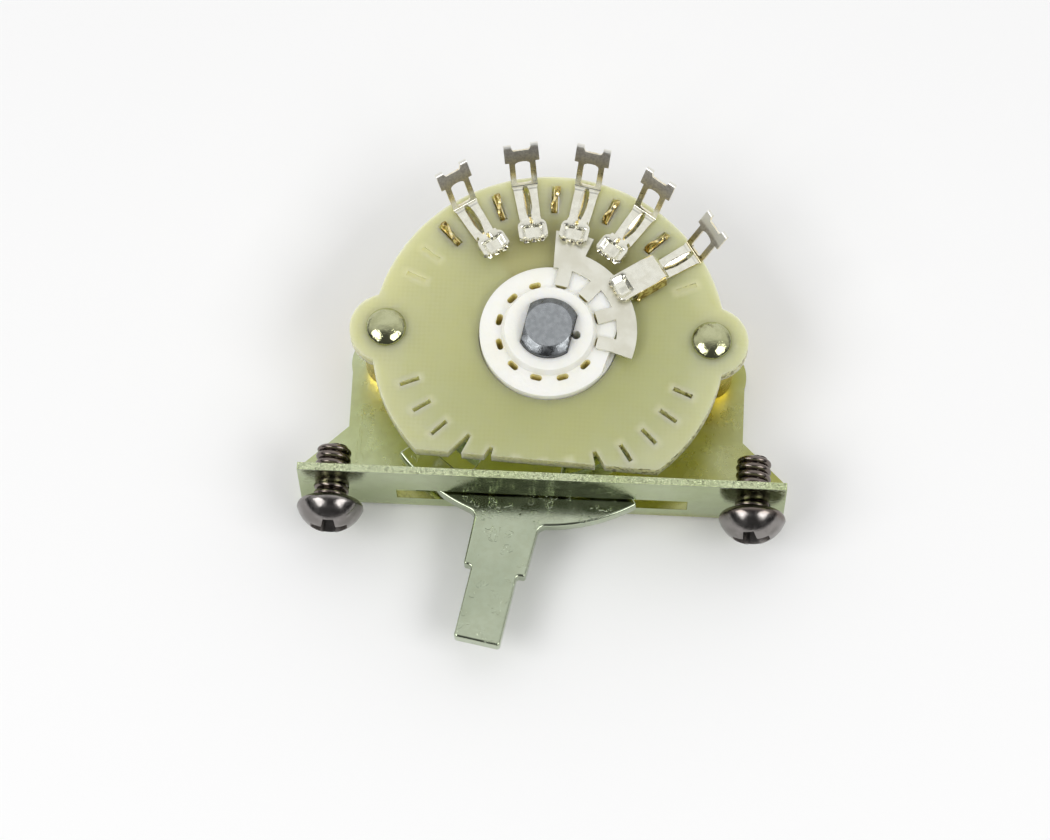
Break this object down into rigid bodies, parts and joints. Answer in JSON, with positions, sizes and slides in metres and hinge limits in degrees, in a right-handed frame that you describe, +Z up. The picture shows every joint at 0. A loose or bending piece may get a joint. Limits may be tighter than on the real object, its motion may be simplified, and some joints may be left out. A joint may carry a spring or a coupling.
{
  "type": "lever selector switch",
  "caption": "Open-frame lever selector switch for an electric guitar: folded bracket, contact wafer with solder lugs, turning rotor and a lever through a slot.",
  "frame": {"origin": "on the pivot axis of the lever, level with the flat underside of the bracket's base", "axes": "+Z up along the pivot axis from base to wafer, +X along the mounting plate, -Y out of the mounting plate's outer face, the way the lever points"},
  "size_m": [0.0478, 0.0495, 0.0145],
  "materials": {
    "zinc_sheet": "pale yellow-green zinc plate on pressed steel sheet",
    "wafer_board": "resin-bonded laminate, smooth, slightly see-through",
    "spacer_brass": "drawn tube, bright",
    "rivet_nickel": "nickel plated, bright",
    "rotor_plastic": "moulded acetal, cream white",
    "blade_metal": "silver plated brass, matt with use",
    "shaft_steel": "dark oxide on turned steel",
    "washer_brass": "plain",
    "ring_steel": "spring steel, plain",
    "lever_steel": "pale zinc plate on stamped steel",
    "ball_steel": "ground steel",
    "spring_steel": "spring temper, plain",
    "clip_silver": "silver plated spring brass",
    "screw_black_nickel": "black nickel"
  },
  "bodies": {
    "frame": {"bracket": "zinc_sheet", "wafer": "wafer_board", "spacer_left": "spacer_brass", "spacer_right": "spacer_brass", "rivet_left": "rivet_nickel", "rivet_right": "rivet_nickel", "thrust_washer": "washer_brass", "clip_top_1": "clip_silver", "clip_top_2": "clip_silver", "clip_top_3": "clip_silver", "clip_top_4": "clip_silver", "clip_top_5": "clip_silver", "clip_bottom_1": "clip_silver", "clip_bottom_2": "clip_silver", "clip_bottom_3": "clip_silver", "clip_bottom_4": "clip_silver", "clip_bottom_5": "clip_silver", "screw_left": "screw_black_nickel", "screw_right": "screw_black_nickel"},
    "lever": {"lever": "lever_steel", "shaft": "shaft_steel", "rotor": "rotor_plastic", "blade_top": "blade_metal", "blade_bottom": "blade_metal", "retaining_ring": "ring_steel", "detent_ball_left": "ball_steel", "detent_ball_right": "ball_steel", "detent_spring": "spring_steel", "spring_collar": "spring_steel"}
  },
  "joints": [
    {"name": "lever_turn", "type": "hinge", "parent": "frame", "child": "lever", "pos_m": [0, 0, 0], "axis": [0, 0, 1], "range_deg": [-22.5, 45]}
  ]
}
